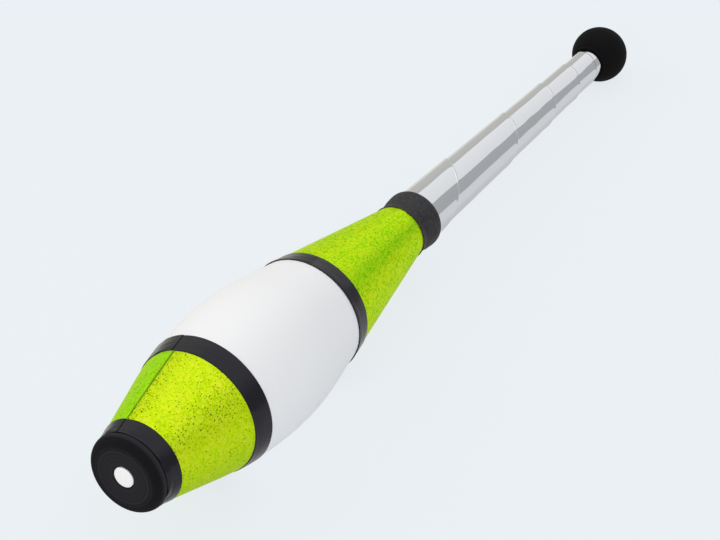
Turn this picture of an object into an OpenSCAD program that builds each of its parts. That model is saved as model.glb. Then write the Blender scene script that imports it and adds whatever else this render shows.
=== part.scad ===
// Juggling club of the European kind, lying along X.
// Origin: centre of the head's flat face. +X runs along the club to the knob.
// Every piece is turned about X, so each outline is a list of [x, radius] points.

/* [Body] */
// Length of the moulded shell, from its mouth to its neck end
body_l = 263; // [220:1:300]
// Greatest diameter, as if foil lay on it too
belly_d = 83.2; // [70:0.2:100]
// Distance of the greatest diameter from the shell's mouth
belly_at = 105; // [90:1:125]
// Diameter at the shell's mouth, over the foil
mouth_d = 43.8; // [40:0.2:45]
// Diameter at the neck end, over the foil
neck_d = 30; // [28:0.2:36]
// Length of the curve between the head cone and the belly
front_curve_l = 60; // [30:1:70]
// Length of the curve between the belly and the neck cone
back_curve_l = 30; // [25:1:60]
// Wall of the shell
shell_t = 1.2; // [0.8:0.1:2]

/* [Dowel and bushes] */
// Diameter of the dowel inside the body
dowel_d = 20; // [16:0.5:22]
// Diameter of the dowel's thin end, inside the knob
dowel_tip_d = 14; // [11:0.5:15]
// Length of the bush in the shell's mouth
head_bush_l = 8; // [5:0.5:15]
// Length of the bush in the shell's neck
neck_bush_l = 12; // [8:0.5:20]
// Chamfer on both ends of the bushes and of the dowel
wood_chamfer = 0.6; // [0.3:0.1:1]

/* [Head cap] */
// Thickness of the cap
cap_t = 7; // [6:0.1:12]
// Greatest diameter of the cap
cap_d = 45.2; // [44:0.2:60]
// How far the cap's edge curves in to its face
cap_round = 4.8; // [2:0.1:6]
// Width of the groove between the cap and the shell's mouth
cap_crease = 1.2; // [0.6:0.1:2]
// Diameter of the disc that closes the screw's recess
plug_d = 12.8; // [11.5:0.1:16]
// Thickness of that disc
plug_t = 1.8; // [1:0.1:2]

/* [Grip] */
// Length of the foam sleeve, from the shell's neck end into the knob
grip_l = 222; // [180:1:260]
// Diameter of the grip at the neck
grip_neck_d = 31.8; // [28:0.2:36]
// Diameter of the grip at the knob
grip_knob_d = 18.6; // [18:0.2:22]
// Thickness of the silver wrap
wrap_t = 0.5; // [0.2:0.1:1]

/* [Knob] */
// Diameter of the ball
knob_d = 34; // [32:0.5:44]
// Depth to which the grip's end sits in the ball
knob_socket_h = 2; // [1:0.5:4]
// Width of the lip around the grip
lip_w = 1.8; // [1:0.1:2.5]
// How far the lip stands out of the ball
lip_h = 1; // [0.5:0.1:2]
// Diameter of the screw's recess in the crown
knob_recess_d = 10.4; // [9.5:0.1:12]

/* [Foil and tape] */
// Thickness of the green foil
foil_t = 0.3; // [0.2:0.05:0.5]
// Thickness of the black tape
tape_t = 0.4; // [0.2:0.05:0.8]
// How far a tape lies over the edge of a foil
tape_lap = 3; // [2:0.5:5]
// Distance of the front tape's far edge from the shell's mouth
head_tape_l = 9.1; // [6:0.1:14]
// Distance of the front ring from the shell's mouth
front_ring_at = 56.5; // [40:0.5:70]
// Width of the front ring
front_ring_w = 12; // [8:0.5:20]
// Distance of the back ring from the shell's mouth
back_ring_at = 159.6; // [140:0.2:175]
// Width of the back ring
back_ring_w = 11; // [8:0.5:20]

/* [Neck band] */
// Length of the band that lies on the shell
band_on_shell = 7.7; // [5:0.1:14]
// Length of the band that lies on the grip
band_on_grip = 11.4; // [8:0.1:20]
// Greatest diameter of the band
band_d = 35.2; // [34:0.2:42]
// Thickness of the band at its two edges
band_edge_t = 0.7; // [0.4:0.1:1]
// Length of the band's round at the grip side
band_round = 4; // [2:0.5:6]

/* [Screws] */
// Diameter of the screw's shank
screw_d = 4; // [3:0.1:5]
// Length of the shank, under the head
screw_l = 28; // [20:1:40]
// Diameter of the screw's head
screw_head_d = 7.6; // [7:0.1:8.4]
// Height of the screw's head
screw_head_h = 2; // [1.6:0.1:2.4]
// Thickness of the washer
washer_t = 1; // [0.6:0.1:1.2]
// Width of the slots of the cross recess
drive_w = 1; // [0.8:0.1:1.4]
// Depth of the cross recess
drive_h = 1.2; // [0.6:0.1:1.4]

/* [Clearances] */
// Radial glue line between wood, foam and plastic
glue_gap = 0.05; // [0:0.01:0.15]
// Radial play of the screw in its washer and in the cap or knob
screw_gap = 0.3; // [0.1:0.05:0.5]
// Radial play of the washer in its recess
washer_gap = 0.2; // [0.1:0.05:0.4]

/* [Hidden] */
$fn = 64;

// Places along the club
mouth_x = cap_t;
belly_x = mouth_x + belly_at;
neck_x = mouth_x + body_l;
grip_end_x = neck_x + grip_l;
lip_r = grip_knob_d / 2 + lip_w;
knob_x = grip_end_x - knob_socket_h + sqrt(pow(knob_d / 2, 2) - pow(lip_r, 2));
front_tangent_x = belly_x - front_curve_l;
back_tangent_x = belly_x + back_curve_l;

// The body is a cone, a parabola up to the belly, a parabola down and a second cone
front_slope = (belly_d - mouth_d) / 2 / (front_tangent_x - mouth_x + front_curve_l / 2);
back_slope = (belly_d - neck_d) / 2 / (neck_x - back_tangent_x + back_curve_l / 2);
curve_steps = 7;

function front_curve_r(x) = belly_d / 2 - front_slope * pow(belly_x - x, 2) / (2 * front_curve_l);
function back_curve_r(x) = belly_d / 2 - back_slope * pow(x - belly_x, 2) / (2 * back_curve_l);

skin_points = concat(
    [[mouth_x, mouth_d / 2]],
    [for (i = [0 : curve_steps])
        let (x = front_tangent_x + front_curve_l * i / curve_steps) [x, front_curve_r(x)]],
    [for (i = [1 : curve_steps])
        let (x = belly_x + back_curve_l * i / curve_steps) [x, back_curve_r(x)]],
    [[neck_x, neck_d / 2]]
);

// Radius over the foil at any x, and the outline from x0 to x1 moved out by d
function skin_r(x) = lookup(x, skin_points);
function skin_run(x0, x1, d) = concat(
    [[x0, skin_r(x0) + d]],
    [for (p = skin_points) if (p[0] > x0 + 0.01 && p[0] < x1 - 0.01) [p[0], p[1] + d]],
    [[x1, skin_r(x1) + d]]
);
function reversed(points) = [for (i = [len(points) - 1 : -1 : 0]) points[i]];

// Radius over the wrap at any x of the grip
function grip_r(x) = lookup(x, [[neck_x, grip_neck_d / 2], [grip_end_x, grip_knob_d / 2]]);

// Points of an arc about [cx, cr] from angle a0 to a1, measured from +X towards +r
function arc(cx, cr, rx, rr, a0, a1, steps) =
    [for (i = [0 : steps]) let (a = a0 + (a1 - a0) * i / steps) [cx + rx * cos(a), cr + rr * sin(a)]];

// Dowel, which ends at the ball's centre
dowel_r = dowel_d / 2;
tip_r = dowel_tip_d / 2;
dowel_end_x = knob_x;

// Screws, washers and their seats
washer_r = plug_d / 2 - washer_gap;
knob_washer_r = knob_recess_d / 2 - washer_gap;
shank_r = screw_d / 2;
hole_r = shank_r + screw_gap;
pilot_extra = 2;
knob_floor_t = 6;
cap_seat_x = plug_t + screw_head_h + washer_t;
knob_seat_x = dowel_end_x + knob_floor_t;
head_pilot_x = cap_seat_x - washer_t + screw_l + pilot_extra;
knob_pilot_x = knob_seat_x + washer_t - screw_l - pilot_extra;

// Shell
mouth_bore_r = mouth_d / 2 - foil_t - shell_t;
neck_bore_r = neck_d / 2 - foil_t - shell_t;
land_blend = 4;
mouth_land_x = mouth_x + head_bush_l;
neck_land_x = neck_x - neck_bush_l;

// Head cap: where its edge is widest
cap_side_x = cap_t - cap_crease;

// Foil and tape
head_tape_x = mouth_x + head_tape_l;
front_ring_x = mouth_x + front_ring_at;
back_ring_x = mouth_x + back_ring_at;
foil_head_x0 = head_tape_x - tape_lap;
foil_head_x1 = front_ring_x + tape_lap;
foil_neck_x0 = back_ring_x + back_ring_w - tape_lap;
foil_neck_x1 = neck_x - band_on_shell + tape_lap;

// Knob: where a radius r meets the ball on its mouth side, and the groove around the lip
function ball_x(r) = knob_x - sqrt(pow(knob_d / 2, 2) - r * r);
groove_w = 0.8;
groove_h = 0.5;

// Turns an outline of [x, radius] points about the club's axis
module turned(points) {
    rotate([0, 90, 0])
        rotate_extrude()
            polygon([for (p = points) [p[1], p[0]]]);
}

// A round ring with both ends chamfered outside
module bush(x0, length, bore_r, r) {
    turned([
        [x0, bore_r],
        [x0, r - wood_chamfer],
        [x0 + wood_chamfer, r],
        [x0 + length - wood_chamfer, r],
        [x0 + length, r - wood_chamfer],
        [x0 + length, bore_r]
    ]);
}

// A flat ring
module washer(x0, r) {
    turned([[x0, hole_r], [x0, r], [x0 + washer_t, r], [x0 + washer_t, hole_r]]);
}

// A pan-head screw, with its head's underside at x = 0 and its shank along +X
module screw() {
    point_l = 4;
    difference() {
        turned(concat(
            [[screw_l, 0], [screw_l - point_l, shank_r], [0, shank_r], [0, screw_head_d / 2]],
            arc(-screw_head_h / 2, screw_head_d / 2 - screw_head_h / 2,
                screw_head_h / 2, screw_head_h / 2, 90, 180, 4),
            [[-screw_head_h, 0]]
        ));
        for (turn = [0, 90])
            rotate([turn, 0, 0])
                translate([-screw_head_h - 1, -screw_head_d / 3, -drive_w / 2])
                    cube([drive_h + 1, screw_head_d * 2 / 3, drive_w]);
    }
}

// A tape lying on the shell, and on the foil where foil_x0..foil_x1 runs under it
module tape(x0, x1, foil_x0, foil_x1) {
    under = foil_x0 > x0
        ? concat(skin_run(x0, foil_x0, -foil_t), skin_run(foil_x0, x1, 0))
        : concat(skin_run(x0, foil_x1, 0), skin_run(foil_x1, x1, -foil_t));
    turned(concat(skin_run(x0, x1, tape_t), reversed(under)));
}

// The white disc pressed into the middle of the cap
module head_plug() {
    edge = 0.3;
    color([0.97, 0.96, 0.93])
        turned([[0, 0], [0, plug_d / 2 - edge], [edge, plug_d / 2], [plug_t, plug_d / 2], [plug_t, 0]]);
}

// The screw that holds the cap on the dowel
module head_screw() {
    color([0.72, 0.73, 0.75])
        translate([cap_seat_x - washer_t, 0, 0])
            screw();
}

// The washer under that screw
module head_washer() {
    color([0.72, 0.73, 0.75])
        washer(cap_seat_x - washer_t, washer_r);
}

// The soft black cap on the end of the head
module head_cap() {
    color([0.07, 0.07, 0.08])
        turned(concat(
            [[0, plug_d / 2]],
            arc(cap_side_x, cap_d / 2 - cap_round, cap_side_x, cap_round, 180, 90, 7),
            [[cap_t, mouth_d / 2 - foil_t]],
            [[cap_t, hole_r], [cap_seat_x, hole_r], [cap_seat_x, plug_d / 2]]
        ));
}

// The wooden ring that centres the dowel in the shell's mouth
module head_bush() {
    color([0.80, 0.64, 0.43])
        bush(mouth_x, head_bush_l, dowel_r + glue_gap, mouth_bore_r - glue_gap);
}

// The wooden rod through the whole club, straight in the body and tapered in the grip
module dowel() {
    color([0.84, 0.69, 0.48])
        turned([
            [mouth_x, shank_r],
            [mouth_x, dowel_r - wood_chamfer],
            [mouth_x + wood_chamfer, dowel_r],
            [neck_x, dowel_r],
            [grip_end_x, tip_r],
            [dowel_end_x - wood_chamfer, tip_r],
            [dowel_end_x, tip_r - wood_chamfer],
            [dowel_end_x, shank_r],
            [knob_pilot_x, shank_r],
            [knob_pilot_x, 0],
            [head_pilot_x, 0],
            [head_pilot_x, shank_r]
        ]);
}

// The hollow white shell
module body_shell() {
    color([0.95, 0.95, 0.96])
        turned(concat(
            skin_run(mouth_x, neck_x, -foil_t),
            [[neck_x, neck_bore_r], [neck_land_x, neck_bore_r]],
            reversed(skin_run(mouth_land_x + land_blend, neck_land_x - land_blend, -foil_t - shell_t)),
            [[mouth_land_x, mouth_bore_r], [mouth_x, mouth_bore_r]]
        ));
}

// The wooden ring that centres the dowel in the shell's neck
module neck_bush() {
    color([0.80, 0.64, 0.43])
        bush(neck_land_x, neck_bush_l, dowel_r + glue_gap, neck_bore_r - glue_gap);
}

// The green foil on the head
module foil_head() {
    color([0.76, 0.90, 0.08])
        turned(concat(
            skin_run(foil_head_x0, foil_head_x1, 0),
            reversed(skin_run(foil_head_x0, foil_head_x1, -foil_t))
        ));
}

// The green foil on the neck cone
module foil_neck() {
    color([0.66, 0.84, 0.06])
        turned(concat(
            skin_run(foil_neck_x0, foil_neck_x1, 0),
            reversed(skin_run(foil_neck_x0, foil_neck_x1, -foil_t))
        ));
}

// The black tape between the cap and the head's foil
module tape_head() {
    color([0.10, 0.10, 0.12])
        tape(mouth_x, head_tape_x, foil_head_x0, foil_head_x1);
}

// The black ring between the head's foil and the white belly
module tape_ring_front() {
    color([0.09, 0.09, 0.11])
        tape(front_ring_x, front_ring_x + front_ring_w, foil_head_x0, foil_head_x1);
}

// The black ring between the white belly and the neck's foil
module tape_ring_back() {
    color([0.09, 0.09, 0.11])
        tape(back_ring_x, back_ring_x + back_ring_w, foil_neck_x0, foil_neck_x1);
}

// The foam sleeve on the dowel, under the silver wrap
module grip_foam() {
    color([0.30, 0.30, 0.32])
        turned([
            [neck_x, dowel_r + glue_gap],
            [neck_x, grip_r(neck_x) - wrap_t],
            [grip_end_x, grip_r(grip_end_x) - wrap_t],
            [grip_end_x, tip_r + glue_gap]
        ]);
}

// The silver wrap around the foam
module handle_wrap() {
    color([0.80, 0.81, 0.83])
        turned([
            [neck_x, grip_r(neck_x) - wrap_t],
            [neck_x, grip_r(neck_x)],
            [grip_end_x, grip_r(grip_end_x)],
            [grip_end_x, grip_r(grip_end_x) - wrap_t]
        ]);
}

// The thick black band over the joint between the body and the grip
module neck_band() {
    band_x0 = neck_x - band_on_shell;
    band_x1 = neck_x + band_on_grip;
    edge_r = grip_r(band_x1) + band_edge_t;
    color([0.20, 0.19, 0.21])
        turned(concat(
            [[band_x0, skin_r(band_x0) + band_edge_t], [neck_x, band_d / 2]],
            arc(band_x1 - band_round, edge_r, band_round, band_d / 2 - edge_r, 90, 0, 5),
            [[band_x1, grip_r(band_x1)], [neck_x, grip_r(neck_x)], [neck_x, skin_r(neck_x) - foil_t]],
            reversed(concat(
                skin_run(band_x0, foil_neck_x1, 0),
                skin_run(foil_neck_x1, neck_x, -foil_t)
            ))
        ));
}

// The soft black ball at the end of the grip
module knob() {
    mouth_a = 180 - asin((lip_r + groove_w) / (knob_d / 2));
    crown_a = asin(knob_recess_d / 2 / (knob_d / 2));
    lip_x = ball_x(lip_r) - lip_h;
    color([0.06, 0.06, 0.07])
        turned(concat(
            [[grip_end_x, tip_r + glue_gap], [grip_end_x, grip_r(grip_end_x) + glue_gap]],
            [[lip_x + lip_h / 2, grip_r(lip_x) + glue_gap]],
            arc(lip_x + lip_h / 2, lip_r - lip_w / 2, lip_h / 2, lip_w / 2, 240, 90, 5),
            [[ball_x(lip_r) + groove_h, lip_r + groove_w / 4]],
            arc(knob_x, 0, knob_d / 2, knob_d / 2, mouth_a, crown_a, 22),
            [[knob_seat_x, knob_recess_d / 2], [knob_seat_x, hole_r]],
            [[dowel_end_x, hole_r], [dowel_end_x, tip_r + glue_gap]]
        ));
}

// The washer in the knob's recess
module knob_washer() {
    color([0.72, 0.73, 0.75])
        washer(knob_seat_x, knob_washer_r);
}

// The screw that holds the knob on the dowel
module knob_screw() {
    color([0.72, 0.73, 0.75])
        translate([knob_seat_x + washer_t, 0, 0])
            rotate([0, 180, 0])
                screw();
}

head_plug();
head_screw();
head_washer();
head_cap();
head_bush();
dowel();
body_shell();
neck_bush();
foil_head();
foil_neck();
tape_head();
tape_ring_front();
tape_ring_back();
grip_foam();
handle_wrap();
neck_band();
knob();
knob_washer();
knob_screw();
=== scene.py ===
import bmesh
import bpy
import math
import random
import numpy as np
from mathutils import Matrix, Vector, noise


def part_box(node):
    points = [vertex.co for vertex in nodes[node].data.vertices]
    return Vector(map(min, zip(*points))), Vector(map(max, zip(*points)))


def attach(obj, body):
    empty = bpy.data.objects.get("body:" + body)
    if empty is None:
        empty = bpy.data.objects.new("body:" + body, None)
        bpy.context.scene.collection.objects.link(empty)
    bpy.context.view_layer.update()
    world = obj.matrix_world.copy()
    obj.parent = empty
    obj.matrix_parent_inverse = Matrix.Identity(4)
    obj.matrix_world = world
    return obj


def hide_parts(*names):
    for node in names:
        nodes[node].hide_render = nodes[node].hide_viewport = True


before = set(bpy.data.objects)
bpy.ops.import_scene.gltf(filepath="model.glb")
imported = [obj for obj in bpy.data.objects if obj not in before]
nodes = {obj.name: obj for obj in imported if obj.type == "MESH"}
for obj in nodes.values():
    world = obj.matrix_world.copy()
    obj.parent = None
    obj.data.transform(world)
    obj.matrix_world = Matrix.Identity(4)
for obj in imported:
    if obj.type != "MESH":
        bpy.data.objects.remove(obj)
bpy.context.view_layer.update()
scene = bpy.context.scene

# ---------------------------------------------------------------- camera
# A long lens with no roll, that looks down the club from beyond its head. The two angles
# turn it away from the club's axis and drop it towards the floor.
view_turn = math.radians(32.0)
view_drop = math.radians(33.83)
view_distance = 1.544
aim = Vector((0.2203, -0.0009, -0.0007))
lens_mm = 140
sensor_mm = 36
far_clip = 50

looking = Vector((
    math.cos(view_drop) * math.cos(view_turn),
    math.cos(view_drop) * math.sin(view_turn),
    -math.sin(view_drop),
))
camera = bpy.data.objects.new("camera", bpy.data.cameras.new("camera"))
scene.collection.objects.link(camera)
camera.data.lens = lens_mm
camera.data.sensor_width = sensor_mm
camera.data.clip_end = far_clip
camera.location = aim - looking * view_distance
camera.rotation_euler = looking.to_track_quat("-Z", "Y").to_euler()
scene.camera = camera
scene.view_settings.view_transform = "Standard"

# ---------------------------------------------------------------- floor
# The club lies on its belly and its knob, so the pale floor leans a little and touches both.
# It is a wide matt sheet with a glow of its own, and the silver grip doesn't mirror it.
floor_reach = 8
floor_shade = (0.09, 0.0945, 0.098, 1)
pale_grey = (0.83, 0.87, 0.905, 1)
floor_glow = 0.895


def outline_of(node):
    """The outline of a turned node: its (x, radius) points, from the head to the knob.
    Only faces that point away from the axis belong to it."""
    mesh = nodes[node].data
    widest = {}
    for face in mesh.polygons:
        n, c = face.normal, face.center
        if n.y * c.y + n.z * c.z > 0.5 * math.hypot(c.y, c.z):
            for v in (mesh.vertices[i].co for i in face.vertices):
                x = round(v.x, 6)
                widest[x] = max(widest.get(x, 0.0), math.hypot(v.y, v.z))
    return sorted(widest.items())


shell_rings = outline_of("body_shell")
knob_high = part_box("knob")[1]
knob_r = knob_high.z
knob_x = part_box("dowel")[1].x
belly_x, belly_r = max(shell_rings, key=lambda ring: ring[1])
rest_tilt = math.asin((belly_r - knob_r) / (knob_x - belly_x))
floor_down = max(x * math.sin(rest_tilt) + r * math.cos(rest_tilt) for x, r in shell_rings)

floor_mesh = bmesh.new()
bmesh.ops.create_grid(floor_mesh, x_segments=2, y_segments=2, size=floor_reach)
bmesh.ops.translate(floor_mesh, verts=floor_mesh.verts, vec=(0, 0, -floor_down))
bmesh.ops.rotate(floor_mesh, verts=floor_mesh.verts, cent=(0, 0, 0),
                 matrix=Matrix.Rotation(-rest_tilt, 3, "Y"))
floor = bpy.data.objects.new("floor", bpy.data.meshes.new("floor"))
floor_mesh.to_mesh(floor.data)
floor_mesh.free()
scene.collection.objects.link(floor)

floor_paint = bpy.data.materials.new("floor_paint")
floor_paint.use_nodes = True
floor_shader = floor_paint.node_tree.nodes["Principled BSDF"]
floor_shader.inputs["Base Color"].default_value = floor_shade
floor_shader.inputs["Roughness"].default_value = 1.0
floor_shader.inputs["Specular IOR Level"].default_value = 0.0
floor_shader.inputs["Emission Color"].default_value = pale_grey
floor_shader.inputs["Emission Strength"].default_value = floor_glow
floor.data.materials.append(floor_paint)
floor.visible_glossy = False

# ---------------------------------------------------------------- studio light
# A pale room, brightest overhead, with no ceiling light beyond the knob. A softbox hangs
# there, and the silver grip mirrors its straight edges. Two more lights, high on the left
# and behind the camera, give the shape, and the camera itself sees a plain backdrop.
wall_dim, wall_bright = 0.40, 0.56
ceiling_bright = 0.92
ground_bright = 0.70
underfoot_bright = 0.56

room = bpy.data.worlds.new("room")
room.use_nodes = True
room_tree = room.node_tree
direction = room_tree.nodes.new("ShaderNodeTexCoord")
parts = room_tree.nodes.new("ShaderNodeSeparateXYZ")
room_tree.links.new(direction.outputs["Generated"], parts.inputs["Vector"])


def room_step(source, low, high, at_low=0.0, at_high=1.0, smooth=True):
    """One step of the room along a direction, between two places on the unit sphere."""
    step = room_tree.nodes.new("ShaderNodeMapRange")
    step.interpolation_type = "SMOOTHSTEP" if smooth else "LINEAR"
    for key, value in (("From Min", low), ("From Max", high), ("To Min", at_low), ("To Max", at_high)):
        step.inputs[key].default_value = value
    room_tree.links.new(parts.outputs[source], step.inputs["Value"])
    return step


def room_mix(share, first, second):
    """Blends two brightnesses of the room by a share; the second brightness is a number."""
    mix = room_tree.nodes.new("ShaderNodeMix")
    room_tree.links.new(share.outputs[0], mix.inputs["Factor"])
    room_tree.links.new(first.outputs["Result"], mix.inputs["A"])
    mix.inputs["B"].default_value = second
    return mix


walls = room_step("Y", -0.9, 0.9, wall_dim, wall_bright, smooth=False)
ceiling = room_tree.nodes.new("ShaderNodeMath")
ceiling.operation = "MULTIPLY"
ceiling_rise = room_step("Z", 0.25, 0.8)
ceiling_end = room_step("X", 0.68, 0.55)
room_tree.links.new(ceiling_rise.outputs["Result"], ceiling.inputs[0])
room_tree.links.new(ceiling_end.outputs["Result"], ceiling.inputs[1])
with_ceiling = room_mix(ceiling, walls, ceiling_bright)
with_ground = room_mix(room_step("Z", -0.04, -0.10), with_ceiling, ground_bright)
brightness = room_mix(room_step("Z", -0.40, -0.75), with_ground, underfoot_bright)
room_tree.links.new(brightness.outputs["Result"], room_tree.nodes["Background"].inputs["Strength"])
room_tint = room_tree.nodes.new("ShaderNodeValToRGB")
room_tint.color_ramp.elements[0].color = (0.985, 0.995, 1.01, 1)
room_tint.color_ramp.elements[1].color = (1.03, 1.01, 0.94, 1)
warm_side = room_step("Y", 0.1, 0.7)
room_tree.links.new(warm_side.outputs["Result"], room_tint.inputs["Fac"])
room_tree.links.new(room_tint.outputs["Color"], room_tree.nodes["Background"].inputs["Color"])
backdrop = room_tree.nodes.new("ShaderNodeBackground")
backdrop.inputs["Color"].default_value = pale_grey
seen = room_tree.nodes.new("ShaderNodeLightPath")
either = room_tree.nodes.new("ShaderNodeMixShader")
room_tree.links.new(seen.outputs["Is Camera Ray"], either.inputs["Fac"])
room_tree.links.new(room_tree.nodes["Background"].outputs["Background"], either.inputs[1])
room_tree.links.new(backdrop.outputs["Background"], either.inputs[2])
room_tree.links.new(either.outputs["Shader"], room_tree.nodes["World Output"].inputs["Surface"])
scene.world = room

for name, place, target, size, front, mirrored in (
    ("softbox_beyond_knob", (1.75, -0.04, 1.10), (0.4, -0.04, 0.0), (1.66, 1.5), 0.36, True),
    ("light_high_left", (-0.2, 1.6, 1.3), (0.2, 0.0, 0.0), (1.0, 1.0), 2.4, False),
    ("light_behind_camera", (-2.0, -0.9, 1.3), (0.1, 0.0, 0.0), (1.2, 1.2), 2.9, False),
):
    lamp = bpy.data.lights.new(name, "AREA")
    lamp.shape = "RECTANGLE"
    lamp.size, lamp.size_y = size
    lamp.energy = front * math.pi * size[0] * size[1]
    holder = bpy.data.objects.new(name, lamp)
    holder.location = place
    holder.rotation_euler = (Vector(target) - Vector(place)).to_track_quat("-Z", "Y").to_euler()
    holder.visible_glossy = mirrored
    scene.collection.objects.link(holder)

# ---------------------------------------------------------------- wooden rod and bushes
# A turned beech rod runs through the club, centred by a beech ring at each end of
# the shell. All three are glued, and hidden once the club is closed.


def new_material(name, colour, roughness, metallic=0.0):
    """A material, its node tree, and its Principled shader with constants set on its own sockets."""
    material = bpy.data.materials.new(name)
    material.use_nodes = True
    shader = material.node_tree.nodes["Principled BSDF"]
    shader.inputs["Base Color"].default_value = (*colour, 1)
    shader.inputs["Roughness"].default_value = roughness
    shader.inputs["Metallic"].default_value = metallic
    return material, material.node_tree, shader


def add_node(tree, kind, **settings):
    """A node of that kind. Settings are its input sockets, or its properties, by name."""
    node = tree.nodes.new(kind)
    for key, value in settings.items():
        socket = key.replace("_", " ")
        if socket in node.inputs:
            node.inputs[socket].default_value = value
        else:
            setattr(node, key, value)
    return node


def dress(node, material):
    """Gives a CAD node its finish."""
    nodes[node].data.materials.clear()
    nodes[node].data.materials.append(material)


beech, tree, shader = new_material("turned_beech", (0.62, 0.42, 0.23), 0.55)
place = add_node(tree, "ShaderNodeTexCoord")
stretch = add_node(tree, "ShaderNodeMapping", Scale=(18, 320, 320))
grain = add_node(tree, "ShaderNodeTexNoise", Scale=1.0, Detail=6.0, Roughness=0.6)
tint = add_node(tree, "ShaderNodeValToRGB")
tint.color_ramp.elements[0].color = (0.40, 0.24, 0.12, 1)
tint.color_ramp.elements[1].color = (0.74, 0.54, 0.33, 1)
bump = add_node(tree, "ShaderNodeBump", Strength=0.25, Distance=0.0002)
tree.links.new(place.outputs["Object"], stretch.inputs["Vector"])
tree.links.new(stretch.outputs["Vector"], grain.inputs["Vector"])
tree.links.new(grain.outputs["Fac"], tint.inputs["Fac"])
tree.links.new(tint.outputs["Color"], shader.inputs["Base Color"])
tree.links.new(grain.outputs["Fac"], bump.inputs["Height"])
tree.links.new(bump.outputs["Normal"], shader.inputs["Normal"])
for node in ("dowel", "head_bush", "neck_bush"):
    dress(node, beech)

# ---------------------------------------------------------------- white shell
# The hollow body, blow-moulded in white polyethylene, with a smooth satin skin that
# shows bare around the belly. It slides over the rod and is glued to both bushes.
round_steps = 144
weld_gap = 1e-7
same_slope = 1e-4
shell_wall = 0.0012
shell_spacing = 0.002


def smooth_r(rings, x):
    """Radius at x of the smooth curve through an outline's rings."""
    xs = np.array([ring[0] for ring in rings])
    rs = np.array([ring[1] for ring in rings])
    slopes = np.diff(rs) / np.diff(xs)
    leans = np.concatenate([slopes[:1], (slopes[1:] + slopes[:-1]) / 2, slopes[-1:]])
    straight = np.abs(np.diff(slopes)) < same_slope
    leans[1:-1][straight] = slopes[:-1][straight]
    i = int(np.clip(np.searchsorted(xs, x) - 1, 0, len(xs) - 2))
    width = xs[i + 1] - xs[i]
    t = min(1.0, max(0.0, (x - xs[i]) / width))
    return float((1 + 2 * t) * (1 - t) ** 2 * rs[i] + t * (1 - t) ** 2 * width * leans[i]
                 + t * t * (3 - 2 * t) * rs[i + 1] + t * t * (t - 1) * width * leans[i + 1])


def shell_r(x):
    """Radius of the bare shell at x."""
    return smooth_r(shell_rings, x)


def stations(x0, x1, spacing):
    """Evenly spaced places from x0 to x1."""
    count = max(2, round(abs(x1 - x0) / spacing) + 1)
    return [x0 + (x1 - x0) * i / (count - 1) for i in range(count)]


def turn_outline(outline, sweep=math.tau, steps=round_steps):
    """Turns a closed outline of (x, radius) points about the club's axis.
    A sweep of more than one turn leaves two ends, which are closed flat."""
    mesh = bmesh.new()
    ring = [mesh.verts.new((x, 0, r)) for x, r in outline]
    edges = [mesh.edges.new((ring[i - 1], ring[i])) for i in range(len(ring))]
    full = abs(sweep) <= math.tau
    bmesh.ops.spin(mesh, geom=ring + edges, cent=(0, 0, 0), axis=(1, 0, 0), angle=sweep,
                   steps=steps, use_merge=full, use_normal_flip=False, use_duplicate=False)
    if full:
        bmesh.ops.remove_doubles(mesh, verts=mesh.verts, dist=weld_gap)
    else:
        bmesh.ops.holes_fill(mesh, edges=[e for e in mesh.edges if e.is_boundary], sides=0)
    bmesh.ops.recalc_face_normals(mesh, faces=mesh.faces)
    return mesh


def finish_piece(name, mesh, material, slot, *replaced, crease_deg=35):
    """Turns a bmesh into a piece of the club that stands for CAD nodes. It is shaded smooth,
    but for edges sharper than crease_deg."""
    for face in mesh.faces:
        face.smooth = True
    for edge in mesh.edges:
        if edge.is_manifold and edge.calc_face_angle(0) > math.radians(crease_deg):
            edge.smooth = False
    piece = bpy.data.objects.new(name, bpy.data.meshes.new(name))
    mesh.to_mesh(piece.data)
    mesh.free()
    scene.collection.objects.link(piece)
    piece.data.materials.append(material)
    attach(piece, "root")
    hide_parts(*replaced)


# Faint marks that handling leaves on any smooth skin: a scuff mask and a slow waviness.
handling = bpy.data.node_groups.new("handling_marks", "ShaderNodeTree")
handling.interface.new_socket("Scuff scale", in_out="INPUT", socket_type="NodeSocketFloat")
handling.interface.new_socket("Wave scale", in_out="INPUT", socket_type="NodeSocketFloat")
handling.interface.new_socket("Scuffs", in_out="OUTPUT", socket_type="NodeSocketFloat")
handling.interface.new_socket("Waves", in_out="OUTPUT", socket_type="NodeSocketFloat")
entry = add_node(handling, "NodeGroupInput")
leave = add_node(handling, "NodeGroupOutput")
place = add_node(handling, "ShaderNodeTexCoord")
scuffs = add_node(handling, "ShaderNodeTexNoise", Detail=8.0, Roughness=0.7, Distortion=1.5)
scuff_mask = add_node(handling, "ShaderNodeMapRange", From_Min=0.52, From_Max=0.75)
waves = add_node(handling, "ShaderNodeTexNoise", Detail=1.0)
handling.links.new(place.outputs["Object"], scuffs.inputs["Vector"])
handling.links.new(place.outputs["Object"], waves.inputs["Vector"])
handling.links.new(entry.outputs["Scuff scale"], scuffs.inputs["Scale"])
handling.links.new(entry.outputs["Wave scale"], waves.inputs["Scale"])
handling.links.new(scuffs.outputs["Fac"], scuff_mask.inputs["Value"])
handling.links.new(scuff_mask.outputs["Result"], leave.inputs["Scuffs"])
handling.links.new(waves.outputs["Fac"], leave.inputs["Waves"])


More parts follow.
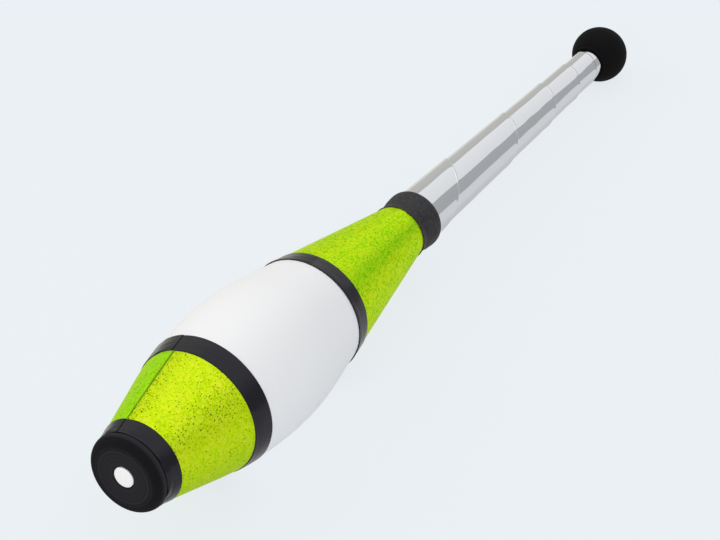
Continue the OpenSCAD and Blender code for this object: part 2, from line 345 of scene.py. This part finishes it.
def add_handling(tree, shader, scuff_scale, wave_scale, rough_low, rough_high, wave_depth):
    """Puts the handling marks into a material: rougher scuffs and a slow bump."""
    marks = add_node(tree, "ShaderNodeGroup", node_tree=handling)
    marks.inputs["Scuff scale"].default_value = scuff_scale
    marks.inputs["Wave scale"].default_value = wave_scale
    spread = add_node(tree, "ShaderNodeMapRange", To_Min=rough_low, To_Max=rough_high)
    bump = add_node(tree, "ShaderNodeBump", Strength=1.0, Distance=wave_depth)
    tree.links.new(marks.outputs["Scuffs"], spread.inputs["Value"])
    tree.links.new(spread.outputs["Result"], shader.inputs["Roughness"])
    tree.links.new(marks.outputs["Waves"], bump.inputs["Height"])
    tree.links.new(bump.outputs["Normal"], shader.inputs["Normal"])


white_shell, tree, shader = new_material("white_polyethylene", (0.91, 0.91, 0.92), 0.42)
shader.inputs["Subsurface Weight"].default_value = 0.15
shader.inputs["Subsurface Radius"].default_value = (0.004, 0.004, 0.004)
add_handling(tree, shader, scuff_scale=90, wave_scale=14, rough_low=0.38, rough_high=0.52,
             wave_depth=0.0002)

shell_x0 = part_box("body_shell")[0].x
shell_x1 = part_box("body_shell")[1].x
shell_line = stations(shell_x0, shell_x1, shell_spacing)
mesh = turn_outline(
    [(x, shell_r(x)) for x in shell_line] + [(x, shell_r(x) - shell_wall) for x in reversed(shell_line)]
)
finish_piece("white_shell", mesh, white_shell, "shell_white", "body_shell")

# ---------------------------------------------------------------- green glitter foil
# Two sheets of adhesive holographic foil, one around the head and one around the neck
# cone. Each is rolled on lengthwise, and its last edge laps over its start in a straight seam.
foil_t = 0.0003
foil_lap_deg = 14
foil_lift = 0.00025
foil_spacing = 0.003
climb_deg = 6


def swell(v, extra):
    """Moves a point of the skin straight out from the club's axis by extra."""
    grow = 1 + extra / math.hypot(v.co.y, v.co.z)
    v.co.y *= grow
    v.co.z *= grow


def wind_strip(x0, x1, spacing, inner, thickness, lift, lap_deg, seam_deg):
    """A strip wound once round the club, whose end laps over its start and stands up by lift.
    Its free edge lies at seam_deg, an angle about the axis from +Y towards +Z."""
    soft = thickness * 0.5
    corner, corner_t = soft * 0.3, thickness * 0.85
    inside = stations(x0, x1, spacing)[1:-1]
    outline = [(x0, inner(x0)), (x0, inner(x0) + soft),
               (x0 + corner, inner(x0) + corner_t), (x0 + soft, inner(x0 + soft) + thickness)]
    outline += [(x, inner(x) + thickness) for x in inside]
    outline += [(x1 - soft, inner(x1 - soft) + thickness), (x1 - corner, inner(x1) + corner_t),
                (x1, inner(x1) + soft), (x1, inner(x1))]
    outline += [(x, inner(x)) for x in reversed(inside)]
    lap = math.radians(lap_deg)
    sweep = math.tau + lap
    mesh = turn_outline(outline, sweep)
    climb = math.radians(climb_deg)
    mesh.verts.ensure_lookup_table()
    for i, v in enumerate(mesh.verts):
        turned = (i // len(outline)) * sweep / round_steps
        past = min(1.0, max(0.0, (turned - (math.tau - climb)) / climb))
        swell(v, lift * past * past * (3 - 2 * past))
    bmesh.ops.rotate(mesh, verts=mesh.verts, cent=(0, 0, 0),
                     matrix=Matrix.Rotation(math.radians(seam_deg - 90) - lap, 3, "X"))
    return mesh


# Glitter: flat flakes that each lean their own way, in one of a few shades, with stray dark specks.
glitter = bpy.data.node_groups.new("glitter_flakes", "ShaderNodeTree")
for name in ("Flake scale", "Lean", "Speck scale"):
    glitter.interface.new_socket(name, in_out="INPUT", socket_type="NodeSocketFloat")
for name, kind in (("Shade", "Float"), ("Speck", "Float"), ("Speck shade", "Float"), ("Angle", "Float"),
                   ("Normal", "Vector")):
    glitter.interface.new_socket(name, in_out="OUTPUT", socket_type="NodeSocket" + kind)
entry = add_node(glitter, "NodeGroupInput")
leave = add_node(glitter, "NodeGroupOutput")
place = add_node(glitter, "ShaderNodeTexCoord")
flakes = add_node(glitter, "ShaderNodeTexVoronoi")
drift = add_node(glitter, "ShaderNodeTexNoise", Scale=60.0, Detail=4.0, Roughness=0.65)
glitter.links.new(place.outputs["Object"], flakes.inputs["Vector"])
glitter.links.new(place.outputs["Object"], drift.inputs["Vector"])
glitter.links.new(entry.outputs["Flake scale"], flakes.inputs["Scale"])
split = add_node(glitter, "ShaderNodeSeparateColor")
glitter.links.new(flakes.outputs["Color"], split.inputs["Color"])
shade = add_node(glitter, "ShaderNodeMix")
shade.inputs["Factor"].default_value = 0.45
glitter.links.new(split.outputs["Red"], shade.inputs["A"])
glitter.links.new(drift.outputs["Fac"], shade.inputs["B"])
glitter.links.new(shade.outputs["Result"], leave.inputs["Shade"])

specks = add_node(glitter, "ShaderNodeTexVoronoi")
glitter.links.new(place.outputs["Object"], specks.inputs["Vector"])
glitter.links.new(entry.outputs["Speck scale"], specks.inputs["Scale"])
speck_parts = add_node(glitter, "ShaderNodeSeparateColor")
glitter.links.new(specks.outputs["Color"], speck_parts.inputs["Color"])
small = add_node(glitter, "ShaderNodeMapRange", From_Min=0.47, From_Max=0.33)
glitter.links.new(specks.outputs["Distance"], small.inputs["Value"])
speck = add_node(glitter, "ShaderNodeMath", operation="MULTIPLY")
glitter.links.new(speck_parts.outputs["Green"], speck.inputs[0])
glitter.links.new(small.outputs["Result"], speck.inputs[1])
glitter.links.new(speck.outputs["Value"], leave.inputs["Speck"])
glitter.links.new(speck_parts.outputs["Blue"], leave.inputs["Speck shade"])

where = add_node(glitter, "ShaderNodeSeparateXYZ")
angle = add_node(glitter, "ShaderNodeMath", operation="ARCTAN2")
turn = add_node(glitter, "ShaderNodeMath", operation="DIVIDE")
turn.inputs[1].default_value = math.tau
whole = add_node(glitter, "ShaderNodeMath", operation="FRACT")
glitter.links.new(place.outputs["Object"], where.inputs["Vector"])
glitter.links.new(where.outputs["Z"], angle.inputs[0])
glitter.links.new(where.outputs["Y"], angle.inputs[1])
glitter.links.new(angle.outputs["Value"], turn.inputs[0])
glitter.links.new(turn.outputs["Value"], whole.inputs[0])
glitter.links.new(whole.outputs["Value"], leave.inputs["Angle"])

lean = add_node(glitter, "ShaderNodeVectorMath", operation="SUBTRACT")
lean.inputs[1].default_value = (0.5, 0.5, 0.5)
scaled = add_node(glitter, "ShaderNodeVectorMath", operation="SCALE")
straight = add_node(glitter, "ShaderNodeNewGeometry")
tilted = add_node(glitter, "ShaderNodeVectorMath", operation="ADD")
unit = add_node(glitter, "ShaderNodeVectorMath", operation="NORMALIZE")
glitter.links.new(flakes.outputs["Color"], lean.inputs[0])
glitter.links.new(lean.outputs["Vector"], scaled.inputs[0])
glitter.links.new(entry.outputs["Lean"], scaled.inputs["Scale"])
glitter.links.new(scaled.outputs["Vector"], tilted.inputs[0])
glitter.links.new(straight.outputs["Normal"], tilted.inputs[1])
glitter.links.new(tilted.outputs["Vector"], unit.inputs[0])
glitter.links.new(unit.outputs["Vector"], leave.inputs["Normal"])


def set_ramp(ramp_node, *stops):
    """Fills a colour ramp with (position, colour) stops."""
    ramp = ramp_node.color_ramp
    while len(ramp.elements) > 1:
        ramp.elements.remove(ramp.elements[-1])
    ramp.elements[0].position, ramp.elements[0].color = stops[0][0], (*stops[0][1], 1)
    for position, colour in stops[1:]:
        ramp.elements.new(position).color = (*colour, 1)


# The places of the colour sockets on a Mix node.
colour_a, colour_b, colour_out = 6, 7, 2


def foil_material(name, greens, painted_light_tints, speck_tints, speck_bands, speck_share):
    """Glitter foil: shades of green by flake, a painted tint around the club that stands in for
    light and shade and the film's change of hue as it catches the light, and dark specks
    that crowd where the bands' grey is pale. Each list holds a ramp's stops."""
    material, tree, shader = new_material(name, greens[1][1], 0.46, 0.75)
    shader.inputs["Specular IOR Level"].default_value = 0.2
    shader.inputs["Specular Tint"].default_value = (0.8, 0.95, 0.3, 1)
    shader.inputs["Coat Weight"].default_value = 0.06
    shader.inputs["Coat Roughness"].default_value = 0.14
    flakes = add_node(tree, "ShaderNodeGroup", node_tree=glitter)
    flakes.inputs["Flake scale"].default_value = 1050
    flakes.inputs["Lean"].default_value = 0.34
    flakes.inputs["Speck scale"].default_value = 900
    shades = add_node(tree, "ShaderNodeValToRGB")
    set_ramp(shades, *greens)
    tree.links.new(flakes.outputs["Shade"], shades.inputs["Fac"])
    # Painted light and shade: a tint by the angle round the club, standing in for how the film catches the
    # light.
    around = add_node(tree, "ShaderNodeValToRGB")
    set_ramp(around, *painted_light_tints)
    tree.links.new(flakes.outputs["Angle"], around.inputs["Fac"])
    greens_under_painted_light = add_node(tree, "ShaderNodeMix", data_type="RGBA", blend_type="MULTIPLY")
    greens_under_painted_light.inputs["Factor"].default_value = 1.0
    tree.links.new(shades.outputs["Color"], greens_under_painted_light.inputs[colour_a])
    tree.links.new(around.outputs["Color"], greens_under_painted_light.inputs[colour_b])

    crowd = add_node(tree, "ShaderNodeValToRGB")
    set_ramp(crowd, *[(at, (grey, grey, grey)) for at, grey in speck_bands])
    tree.links.new(flakes.outputs["Angle"], crowd.inputs["Fac"])
    dense = add_node(tree, "ShaderNodeMath", operation="MULTIPLY")
    dense.inputs[1].default_value = speck_share
    tree.links.new(crowd.outputs["Color"], dense.inputs[0])
    sum_up = add_node(tree, "ShaderNodeMath", operation="ADD")
    tree.links.new(flakes.outputs["Speck"], sum_up.inputs[0])
    tree.links.new(dense.outputs["Value"], sum_up.inputs[1])
    chosen = add_node(tree, "ShaderNodeMapRange", From_Min=0.97, From_Max=1.03, To_Max=0.9)
    tree.links.new(sum_up.outputs["Value"], chosen.inputs["Value"])
    speck_paint = add_node(tree, "ShaderNodeValToRGB")
    set_ramp(speck_paint, *speck_tints)
    tree.links.new(flakes.outputs["Speck shade"], speck_paint.inputs["Fac"])
    speckled = add_node(tree, "ShaderNodeMix", data_type="RGBA")
    tree.links.new(speck_paint.outputs["Color"], speckled.inputs[colour_b])
    tree.links.new(chosen.outputs["Result"], speckled.inputs["Factor"])
    tree.links.new(greens_under_painted_light.outputs[colour_out], speckled.inputs[colour_a])
    tree.links.new(speckled.outputs[colour_out], shader.inputs["Base Color"])
    tree.links.new(flakes.outputs["Normal"], shader.inputs["Normal"])
    return material


# Its painted tints hold a narrow dark stop from 0.1952 to 0.1976 round the club: a painted shadow line along
# the seam's edge.
head_foil_finish = foil_material(
    "head_glitter_foil",
    greens=[(0.20, (0.52, 0.82, 0.0)), (0.50, (0.74, 0.97, 0.004)), (0.80, (0.90, 1.0, 0.04))],
    painted_light_tints=[
        (0.0, (0.9, 0.96, 1)), (0.15, (0.66, 1.0, 1)), (0.1945, (0.60, 1.0, 1)), (0.1952, (0.05, 0.24, 1)),
        (0.1976, (0.05, 0.24, 1)), (0.1990, (0.96, 0.97, 1)), (0.28, (1, 1, 1)), (0.34, (0.97, 0.98, 1)),
        (0.38, (0.90, 0.95, 1)), (0.44, (0.97, 1, 1)), (0.50, (0.88, 0.95, 1)), (0.60, (0.84, 0.93, 1)),
        (0.75, (0.8, 1, 1)), (1.0, (0.9, 0.96, 1)),
    ],
    speck_tints=[(0.0, (0.08, 0.14, 0.0)), (0.45, (0.20, 0.28, 0.0)), (0.6, (0.46, 0.34, 0.0)),
                 (1.0, (0.42, 0.66, 0.0))],
    speck_bands=[(0.0, 0.2), (0.18, 0.3), (0.20, 1.0), (0.225, 0.85), (0.26, 0.2), (0.33, 0.45),
                 (0.365, 0.9), (0.40, 0.8), (0.44, 0.15), (0.75, 0.5), (1.0, 0.2)],
    speck_share=0.66,
)
# Its painted tints darken the green from 0.315 to 0.425 round the club: painted shade.
neck_foil_finish = foil_material(
    "neck_glitter_foil",
    greens=[(0.22, (0.30, 0.74, 0.0)), (0.50, (0.68, 1.0, 0.0)), (0.78, (0.84, 1.0, 0.01))],
    painted_light_tints=[(0.0, (1, 1, 1)), (0.28, (1, 1, 1)), (0.315, (0.97, 0.99, 1)), (0.345, (0.90, 0.96, 1)),
                 (0.375, (0.68, 0.89, 1)), (0.40, (0.80, 0.93, 1)), (0.425, (1, 1, 1)), (1.0, (1, 1, 1))],
    speck_tints=[(0.0, (0.12, 0.46, 0.0)), (0.6, (0.22, 0.60, 0.0)), (1.0, (0.44, 0.70, 0.0))],
    speck_bands=[(0.0, 0.5), (0.25, 0.7), (0.37, 1.0), (0.43, 0.2), (1.0, 0.5)],
    speck_share=0.40,
)

for name, node, finish, slot, seam_deg in (
    ("head_foil", "foil_head", head_foil_finish, "foil_green_head", 71),
    ("neck_foil", "foil_neck", neck_foil_finish, "foil_green_neck", 108),
):
    low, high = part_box(node)
    mesh = wind_strip(low.x, high.x, foil_spacing, shell_r, foil_t, foil_lift, foil_lap_deg, seam_deg)
    finish_piece(name, mesh, finish, slot, node)

# ---------------------------------------------------------------- black tapes
# Glossy black PVC tape, pulled tight over the foil's edges: one behind the cap, and a
# ring on each side of the bare belly. Each strip ends on top of its own start.
tape_t = 0.0004
tape_lift = 0.0003
tape_spacing = 0.0005
tuck_reach = 0.004
wrinkle = 0.0001
tape_finish, tree, shader = new_material("black_pvc_tape", (0.003, 0.0025, 0.008), 0.2)
shader.inputs["IOR"].default_value = 1.43
add_handling(tree, shader, scuff_scale=160, wave_scale=50, rough_low=0.16, rough_high=0.30,
             wave_depth=0.0002)


def ripple(x, around, along, across):
    """Smooth noise on the club's skin: along counts its waves in a metre of the club, and
    across counts them in a radian round it."""
    return noise.noise(Vector((x * along, math.cos(around) * across, math.sin(around) * across)))


for name, node, lap_deg, seam_deg, edge_depth in (
    ("head_tape", "tape_head", 22, 69.5, 0.0006),
    ("front_ring", "tape_ring_front", 18, 68, 0.0001),
    ("back_ring", "tape_ring_back", 16, 250, 0.0001),
):
    low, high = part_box(node)
    mesh = wind_strip(low.x, high.x, tape_spacing, shell_r, tape_t + foil_t, tape_lift, lap_deg, seam_deg)
    for v in mesh.verts:
        fold = ripple(v.co.x, math.atan2(v.co.z, v.co.y), along=620, across=3.5)
        near_edge = max(0.0, 1 - (v.co.x - low.x) / tuck_reach)
        swell(v, fold * (wrinkle + edge_depth * near_edge))
    finish_piece(name, mesh, tape_finish, "tape_black", node)

# ---------------------------------------------------------------- grip foam
# A sleeve of closed-cell foam, slid over the rod's taper before the grip is wrapped. It
# makes the grip thick and soft, and is hidden under the silver film.
foam_grey, tree, shader = new_material("grip_foam", (0.19, 0.19, 0.20), 0.9)
place = add_node(tree, "ShaderNodeTexCoord")
cells = add_node(tree, "ShaderNodeTexVoronoi", Scale=1400.0)
bump = add_node(tree, "ShaderNodeBump", Strength=0.6, Distance=0.0003)
tree.links.new(place.outputs["Object"], cells.inputs["Vector"])
tree.links.new(cells.outputs["Distance"], bump.inputs["Height"])
tree.links.new(bump.outputs["Normal"], shader.inputs["Normal"])
dress("grip_foam", foam_grey)

# ---------------------------------------------------------------- silver wrap
# Metallised film, wound from the knob up to the neck, so each lap lies over the one
# nearer the knob and ends in a small step. The laps get longer towards the neck.
wrap_low, wrap_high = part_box("handle_wrap")
wrap_rings = outline_of("handle_wrap")
film_t = 0.0003
film_step = 0.00055
edge_curl, curl_reach = 0.00028, 0.0018
edge_drop, drop_reach = 0.0006, 0.0013
film_wave = 0.00011
first_edge = 0.3415
neck_pitch = 0.074
pitch_fade = 0.4
edge_zone = 0.004
from_edge = [0.0028, 0.0021, 0.0016, 0.0013, 0.0010, 0.0007, 0.0004, 0.0002, 0.0]
wide_steps = 12
turn_steps = 96
first_turn, last_turn = -2, 5
film_weld_gap = 4e-6


def edge_x(turn):
    """Where the film's edge is after so many turns, counted towards the knob."""
    return first_edge + neck_pitch / pitch_fade * (1 - math.exp(-pitch_fade * turn))


def grip_r(x):
    """Radius of the plain wrap at x."""
    (x0, r0), (x1, r1) = wrap_rings[0], wrap_rings[-1]
    return r0 + (r1 - r0) * (x - x0) / (x1 - x0)


silver, tree, shader = new_material("silver_film", (0.84, 0.857, 0.885), 0.05, 1.0)
add_handling(tree, shader, scuff_scale=200, wave_scale=45, rough_low=0.04, rough_high=0.08,
             wave_depth=0.00005)

# The film is spun as an even coil first. Then each point moves to its place on the laps,
# whose length changes, and the last point of each row closes the step down to the lap below.
coil_pitch, coil_r, coil_foot_r = 0.06, 0.02, 0.019
mesh = bmesh.new()
row = wide_steps + 1 + len(from_edge)
ring = [mesh.verts.new(((first_turn + i / (row - 1)) * coil_pitch, 0, coil_r)) for i in range(row)]
ring.append(mesh.verts.new(((first_turn + 1) * coil_pitch, 0, coil_foot_r)))
strip = [mesh.edges.new((ring[i], ring[i + 1])) for i in range(len(ring) - 1)]
turns = last_turn - first_turn
bmesh.ops.spin(mesh, geom=ring + strip, cent=(0, 0, 0), axis=(1, 0, 0), angle=math.tau * turns,
               steps=turn_steps * turns, dvec=(coil_pitch / turn_steps, 0, 0),
               use_merge=False, use_normal_flip=False, use_duplicate=False)
mesh.verts.ensure_lookup_table()
for i, v in enumerate(mesh.verts):
    step, j = divmod(i, len(ring))
    turn = first_turn + step / turn_steps
    lap_start, lap_end = edge_x(turn), edge_x(turn + 1)
    if j <= wide_steps:
        x = lap_start + (lap_end - edge_zone - lap_start) * j / wide_steps
    elif j < row:
        x = lap_end - from_edge[j - wide_steps - 1]
    else:
        x = lap_end
    share = (x - lap_start) / (lap_end - lap_start)
    to_edge = lap_end - x
    height = film_step * share + edge_curl * math.exp(-(to_edge / curl_reach) ** 2)
    height -= edge_drop * max(0.0, 1 - to_edge / drop_reach) ** 2
    if j == row:
        height = 0.0
    around = -turn * math.tau
    height += film_wave * ripple(x, around, along=110, across=1.6)
    r = grip_r(x) - film_step * 0.5 + height
    v.co = (x, r * math.cos(around), r * math.sin(around))
bmesh.ops.remove_doubles(mesh, verts=mesh.verts, dist=film_weld_gap)
for x, side in ((wrap_low.x, -1), (wrap_high.x, 1)):
    bmesh.ops.bisect_plane(mesh, geom=mesh.verts[:] + mesh.edges[:] + mesh.faces[:], dist=weld_gap,
                           plane_co=(x, 0, 0), plane_no=(side, 0, 0), clear_outer=True)
bmesh.ops.recalc_face_normals(mesh, faces=mesh.faces)
middle = max(mesh.faces, key=lambda f: f.calc_area())
outward = Vector((0, middle.calc_center_median().y, middle.calc_center_median().z))
if middle.normal.dot(outward) < 0:
    bmesh.ops.reverse_faces(mesh, faces=mesh.faces)
bmesh.ops.solidify(mesh, geom=mesh.faces[:], thickness=film_t)
finish_piece("silver_wrap", mesh, silver, "wrap_silver", "handle_wrap", crease_deg=25)

# ---------------------------------------------------------------- neck band
# A wide black band stretched over the joint between the body and the grip. It is thin
# where it clings to the foil, and thick and round-ended on the grip.
band_low, band_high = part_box("neck_band")
band_r = band_high.z
band_skirt_t = 0.0006
skirt_least, skirt_extra, skirt_turn = 0.0022, 0.0042, math.radians(128)
band_full_x = 0.2785
band_swell = 2.4
band_round_x = band_high.x - 0.0030
band_end_t = 0.0006
band_spacing = 0.0004
pleat_depth, pleat_fade = 0.00018, 0.003
band_finish, tree, shader = new_material("dull_black_band", (0.020, 0.019, 0.022), 0.62)
shader.inputs["Specular IOR Level"].default_value = 0.4
add_handling(tree, shader, scuff_scale=260, wave_scale=160, rough_low=0.56, rough_high=0.72,
             wave_depth=0.0003)
place = add_node(tree, "ShaderNodeTexCoord")
dust = add_node(tree, "ShaderNodeTexNoise", Scale=420.0, Detail=5.0, Roughness=0.7)
dust_tint = add_node(tree, "ShaderNodeValToRGB")
set_ramp(dust_tint, (0.35, (0.010, 0.009, 0.012)), (0.70, (0.036, 0.034, 0.038)))
tree.links.new(place.outputs["Object"], dust.inputs["Vector"])
tree.links.new(dust.outputs["Fac"], dust_tint.inputs["Fac"])
tree.links.new(dust_tint.outputs["Color"], shader.inputs["Base Color"])


def band_outer_r(x, around):
    """Radius of the band's outside: a thin skirt on the cone, a hollow, and the thick part."""
    valley_x = band_low.x + skirt_least + skirt_extra * math.sin(around - skirt_turn) ** 2
    skirt_r = shell_r(min(x, shell_x1)) + foil_t + band_skirt_t
    if x <= valley_x:
        return skirt_r
    valley_r = shell_r(min(valley_x, shell_x1)) + foil_t + band_skirt_t
    rise = min(1.0, (x - valley_x) / (band_full_x - valley_x))
    return valley_r + (band_r - valley_r) * (1 - (1 - rise) ** band_swell)


outer_line = stations(band_low.x, band_round_x, band_spacing)
end_r = grip_r(band_high.x) + band_end_t
round_end = [(band_round_x + (band_high.x - band_round_x) * math.sin(a),
              end_r + (band_r - end_r) * math.cos(a)) for a in stations(0.15, math.pi / 2, 0.14)]
inner_line = [(band_high.x, grip_r(band_high.x) - 0.0002), (shell_x1, grip_r(shell_x1) - 0.0002),
              (shell_x1, shell_r(shell_x1) - 0.0001), (band_low.x, shell_r(band_low.x))]
mesh = turn_outline([(x, band_r) for x in outer_line] + round_end + inner_line)

# The outside starts as a plain tube of radius band_r, and only its points are shaped.
for v in mesh.verts:
    r = math.hypot(v.co.y, v.co.z)
    if r < band_r - 1e-6:
        continue
    around = math.atan2(v.co.z, v.co.y)
    wanted = band_outer_r(v.co.x, around)
    pleat = ripple(v.co.x, around, along=500, across=4)
    wanted += pleat_depth * pleat * min(1.0, (band_round_x - v.co.x) / pleat_fade)
    v.co.y *= wanted / r
    v.co.z *= wanted / r
finish_piece("neck_band_skin", mesh, band_finish, "band_black", "neck_band", crease_deg=50)

# ---------------------------------------------------------------- head cap
# A thick disc of black foam rubber with a rounded edge. It is turned on a lathe, which
# leaves fine rings on its face. A screw and washer in its middle clamp it to the rod.
cap_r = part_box("head_cap")[1].z
cap_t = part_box("head_cap")[1].x
cap_edge = 0.0048
cap_crease = 0.0012
cap_seat_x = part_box("head_washer")[1].x
plug_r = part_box("head_plug")[1].z
hole_r = 0.0023
# A paler grey for a painted highlight, where light catches the cap's rounded edge.
rim_highlight_grey = (0.022, 0.021, 0.024, 1)


def rubber(name, face_colour, rim_colour, rim_from, rim_to, highlight_from, highlight_to, shine):
    """Porous black rubber, paler and ringed by the lathe inside rim_from, plain outside rim_to,
    and with a painted highlight, a paler grey from the radius highlight_from to highlight_to,
    that stands in for light catching the rounded edge."""
    material, tree, shader = new_material(name, rim_colour, 0.85)
    shader.inputs["Specular IOR Level"].default_value = shine
    place = add_node(tree, "ShaderNodeTexCoord")
    flat = add_node(tree, "ShaderNodeMapping", Scale=(0, 1, 1))
    radius = add_node(tree, "ShaderNodeVectorMath", operation="LENGTH")
    tree.links.new(place.outputs["Object"], flat.inputs["Vector"])
    tree.links.new(flat.outputs["Vector"], radius.inputs[0])
    rings = add_node(tree, "ShaderNodeTexNoise", noise_dimensions="1D", Scale=900.0, Detail=3.0)
    tree.links.new(radius.outputs["Value"], rings.inputs["W"])
    ring_tint = add_node(tree, "ShaderNodeMapRange", From_Min=0.3, From_Max=0.7, To_Min=0.65, To_Max=1.35)
    tree.links.new(rings.outputs["Fac"], ring_tint.inputs["Value"])
    face = add_node(tree, "ShaderNodeVectorMath", operation="SCALE")
    face.inputs[0].default_value = face_colour
    tree.links.new(ring_tint.outputs["Result"], face.inputs["Scale"])
    rim_share = add_node(tree, "ShaderNodeMapRange", From_Min=rim_from, From_Max=rim_to)
    tree.links.new(radius.outputs["Value"], rim_share.inputs["Value"])
    colour = add_node(tree, "ShaderNodeMix", data_type="RGBA")
    colour.inputs[colour_b].default_value = (*rim_colour, 1)
    tree.links.new(rim_share.outputs["Result"], colour.inputs["Factor"])
    tree.links.new(face.outputs["Vector"], colour.inputs[colour_a])
    highlight_share = add_node(tree, "ShaderNodeMapRange", From_Min=highlight_from, From_Max=highlight_to)
    tree.links.new(radius.outputs["Value"], highlight_share.inputs["Value"])
    painted_highlight = add_node(tree, "ShaderNodeMix", data_type="RGBA")
    painted_highlight.inputs[colour_b].default_value = rim_highlight_grey
    tree.links.new(highlight_share.outputs["Result"], painted_highlight.inputs["Factor"])
    tree.links.new(colour.outputs[colour_out], painted_highlight.inputs[colour_a])
    tree.links.new(painted_highlight.outputs[colour_out], shader.inputs["Base Color"])
    pores = add_node(tree, "ShaderNodeTexNoise", Scale=1500.0, Detail=4.0)
    bump = add_node(tree, "ShaderNodeBump", Strength=0.5, Distance=0.0002)
    tree.links.new(place.outputs["Object"], pores.inputs["Vector"])
    tree.links.new(pores.outputs["Fac"], bump.inputs["Height"])
    tree.links.new(bump.outputs["Normal"], shader.inputs["Normal"])
    return material


# The cap's outermost edge, from 21.9 to 22.5 mm out, gets the painted highlight.
cap_rubber = rubber("lathe_cut_rubber", face_colour=(0.016, 0.015, 0.018), rim_colour=(0.005, 0.0045, 0.006),
                    rim_from=0.0150, rim_to=0.0182, highlight_from=0.0219, highlight_to=0.0225, shine=0.2)

random.seed(7)
ring_widths = (0.00055, 0.00115)
ring_depths = (0.00003, 0.00011)
face_line = [(0.0009, plug_r), (0.0003, plug_r + 0.0001), (0.0, plug_r + 0.0005)]
ring_r = plug_r + 0.0008
while ring_r < cap_r - cap_edge - 0.0006:
    width = random.uniform(*ring_widths)
    depth = random.uniform(*ring_depths)
    face_line += [(0.0, ring_r), (depth, ring_r + width * 0.3), (depth * 0.3, ring_r + width * 0.6)]
    ring_r += width
cap_side_x = cap_t - cap_crease
edge_line = [(cap_side_x - cap_side_x * math.cos(a), cap_r - cap_edge + cap_edge * math.sin(a))
             for a in stations(0.0, math.pi / 2, 0.07)]
rolled = [(cap_side_x + 0.0002, cap_r - 0.0001), (cap_side_x + 0.0004, cap_r - 0.0004),
          (cap_side_x + 0.00055, cap_r - 0.0010), (cap_side_x + 0.0009, cap_r - 0.0011)]
back_line = [(cap_t, shell_r(shell_x0) + 0.0004), (cap_t, hole_r), (cap_seat_x, hole_r), (cap_seat_x, plug_r)]
mesh = turn_outline(face_line + edge_line + rolled + back_line)
finish_piece("rubber_cap", mesh, cap_rubber, "cap_foam", "head_cap")

# ---------------------------------------------------------------- screws and washers
# Zinc-plated wood screws with flat washers: one pair under the white disc, and one in the
# knob's crown. They clamp the cap and the knob to the ends of the rod.
zinc, tree, shader = new_material("zinc_plated_steel", (0.60, 0.61, 0.63), 0.32, 1.0)
add_handling(tree, shader, scuff_scale=500, wave_scale=200, rough_low=0.26, rough_high=0.42,
             wave_depth=0.0001)
for node in ("head_screw", "head_washer", "knob_screw", "knob_washer"):
    dress(node, zinc)

# ---------------------------------------------------------------- white disc
# A cream plastic disc, moulded with a soft edge and a faintly domed face. It is pressed
# into the middle of the cap and hides the screw.
plug_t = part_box("head_plug")[1].x
cream, tree, shader = new_material("cream_plastic", (0.99, 0.98, 0.95), 0.4)
add_handling(tree, shader, scuff_scale=300, wave_scale=100, rough_low=0.34, rough_high=0.5,
             wave_depth=0.0001)
disc_r = plug_r - 0.0005
dome_rise = 0.0002
edge_deep, edge_wide = 0.0005, 0.0006
soft_edge = [(dome_rise + edge_deep - edge_deep * math.sin(a), disc_r - edge_wide + edge_wide * math.cos(a))
             for a in stations(math.pi / 2, 0.0, 0.25)]
dome = [(dome_rise * (r / plug_r) ** 2, r) for r in stations(0.0, plug_r - 0.0012, 0.0008)]
mesh = turn_outline(dome + soft_edge + [(plug_t, disc_r), (plug_t, 0.0)])
finish_piece("cream_disc", mesh, cream, "plug_white", "head_plug")

# ---------------------------------------------------------------- knob
# A ball of the same soft black rubber, with a lip around its mouth. It is pushed over the
# end of the grip and held by a screw in its crown.
knob_black = (0.0035, 0.003, 0.0035)
knob_rubber = rubber("moulded_rubber", face_colour=knob_black, rim_colour=knob_black, rim_from=0.0,
                     rim_to=0.001, highlight_from=0.05, highlight_to=0.06, shine=0.16)
lip_w, lip_h, lip_groove = 0.0018, 0.0010, 0.0008
knob_seat_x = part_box("knob_washer")[0].x
recess_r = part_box("knob_washer")[1].z + 0.0002
tip_r = 0.00705
grip_end_x = wrap_high.x
lip_r = wrap_rings[-1][1] + lip_w


def ball_x(r):
    """Where the ball's mouth side has radius r."""
    return knob_x - math.sqrt(knob_r ** 2 - r * r)


lip_x = ball_x(lip_r) - lip_h
mouth_angle = math.asin((lip_r + lip_groove) / knob_r)
crown_angle = math.asin(recess_r / knob_r)
lip_line = [(lip_x + lip_h / 2 + lip_h / 2 * math.cos(a), lip_r - lip_w / 2 + lip_w / 2 * math.sin(a))
            for a in stations(math.radians(240), math.radians(90), 0.2)]
ball_line = [(knob_x - knob_r * math.cos(a), knob_r * math.sin(a))
             for a in stations(mouth_angle, math.pi - crown_angle - 0.03, 0.045)]
bore_r = wrap_rings[-1][1] + 0.00005
mesh = turn_outline(
    [(grip_end_x, tip_r), (grip_end_x, bore_r), (lip_x + lip_h / 2, grip_r(lip_x) + 0.00005)]
    + lip_line + [(ball_x(lip_r) + 0.0005, lip_r + lip_groove / 4)] + ball_line
    + [(knob_high.x - 0.0001, recess_r + 0.0002), (knob_high.x - 0.0006, recess_r)]
    + [(knob_seat_x, recess_r), (knob_seat_x, hole_r), (knob_x, hole_r), (knob_x, tip_r)]
)
finish_piece("rubber_knob", mesh, knob_rubber, "knob_foam", "knob")
